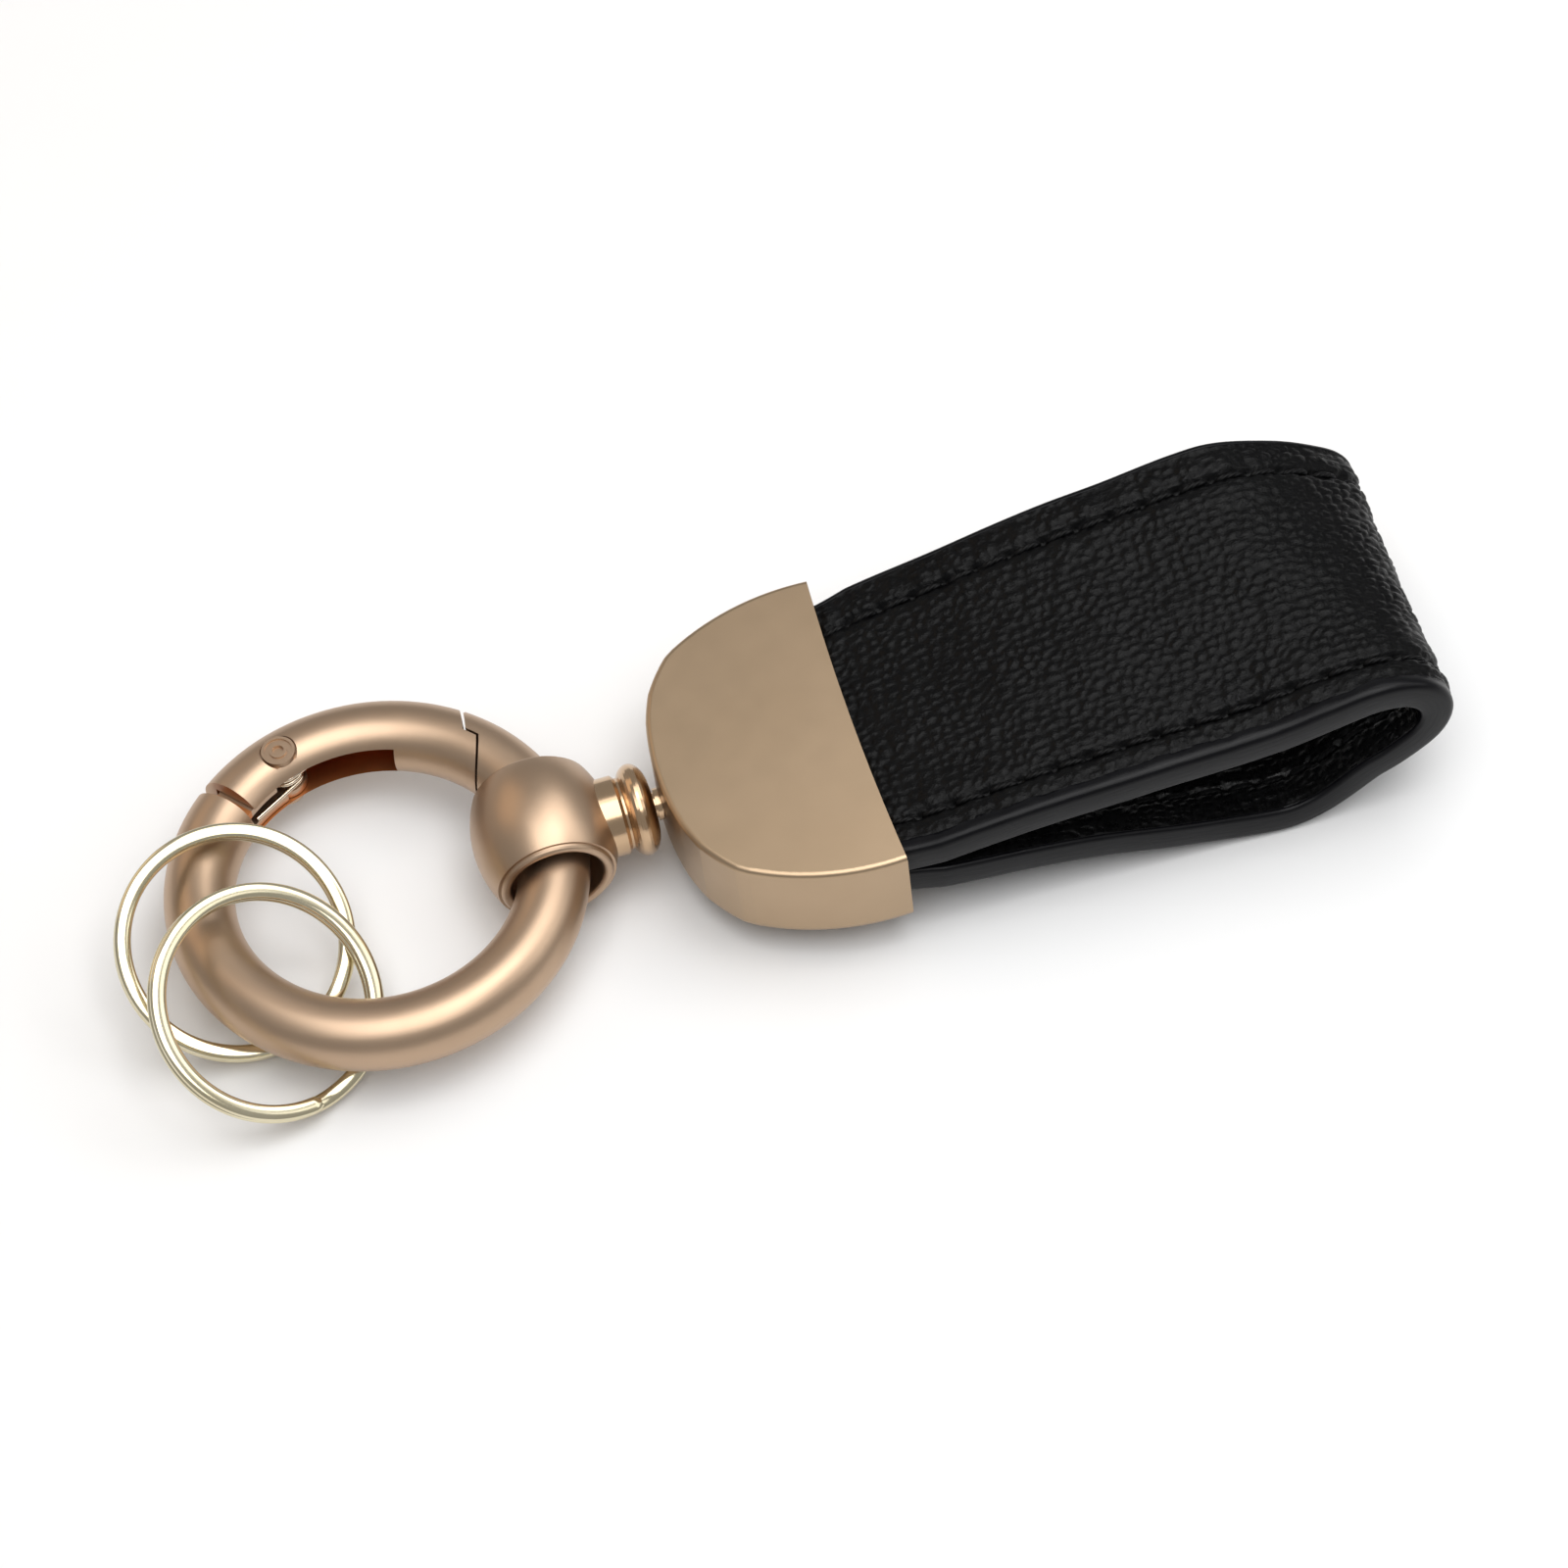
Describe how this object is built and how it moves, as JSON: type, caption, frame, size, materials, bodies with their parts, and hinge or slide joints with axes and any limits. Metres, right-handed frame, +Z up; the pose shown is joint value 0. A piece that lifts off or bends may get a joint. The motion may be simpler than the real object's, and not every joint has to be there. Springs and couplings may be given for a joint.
{
  "type": "wristlet keychain",
  "caption": "Wristlet keychain: folded leather strap in a metal end cap, with a swivel barrel, spring-gate ring and split rings.",
  "frame": {"origin": "centre of the spring-gate ring", "axes": "+X from the ring along the surface it lies on to the folded end of the strap, +Y across the strap, +Z up from that surface, which is at z = -5.6 mm"},
  "size_m": [0.1137, 0.0366, 0.019],
  "materials": {
    "satin_gold": "satin, rose-gold plated",
    "polished_gold": "polished, rose-gold plated",
    "pale_gold": "bright pale gold plating",
    "steel": "bright",
    "outer_leather": "pebble grain, low sheen",
    "lining_leather": "fine grain, slight gloss",
    "core_board": "raw fibre board",
    "edge_paint": "smooth sealed edge",
    "thread": "waxed twisted thread"
  },
  "bodies": {
    "strap": {"end_cap": "satin_gold", "cap_screws": "steel", "swivel_rivet": "polished_gold", "rivet_washer": "steel", "neck_washer": "polished_gold", "strap_outer": "outer_leather", "strap_core": "core_board", "strap_lining": "lining_leather", "edge_seal_left": "edge_paint", "edge_seal_right": "edge_paint", "stitch_row_left": "thread", "stitch_row_right": "thread"},
    "swivel": {"swivel_knob": "polished_gold", "barrel": "satin_gold"},
    "gate_ring": {"ring_body": "satin_gold", "gate_spring": "steel"},
    "gate": {"gate": "satin_gold", "gate_rivet": "polished_gold"},
    "split_ring_1": {"split_ring_1": "pale_gold"},
    "split_ring_2": {"split_ring_2": "pale_gold"}
  },
  "joints": [
    {"name": "swivel_turn", "type": "hinge", "parent": "strap", "child": "swivel", "pos_m": [0.01456, 0, 0.00051], "axis": [0.9988, 0, 0.0489], "continuous": true},
    {"name": "ring_swing", "type": "hinge", "parent": "swivel", "child": "gate_ring", "pos_m": [0.01456, 0, 0.00051], "axis": [0, 1, 0], "range_deg": [-120, 120]},
    {"name": "gate_open", "type": "hinge", "parent": "gate_ring", "child": "gate", "pos_m": [-0.00499, 0.01372, -0.00017], "axis": [0.0349, 0, -0.9994], "range_deg": [0, 24], "stiffness_Nm_per_rad": 0.02, "springref_deg": -28.65, "deforming": ["gate_spring"]},
    {"name": "split_ring_1_swing", "type": "hinge", "parent": "gate_ring", "child": "split_ring_1", "pos_m": [-0.01468, -0.00305, -0.00051], "axis": [0.9659, 0.2588, 0], "range_deg": [0, 50]},
    {"name": "split_ring_2_swing", "type": "hinge", "parent": "gate_ring", "child": "split_ring_2", "pos_m": [-0.00657, -0.01348, -0.00023], "axis": [0.8982, -0.4384, 0.0314], "range_deg": [0, 65]}
  ]
}
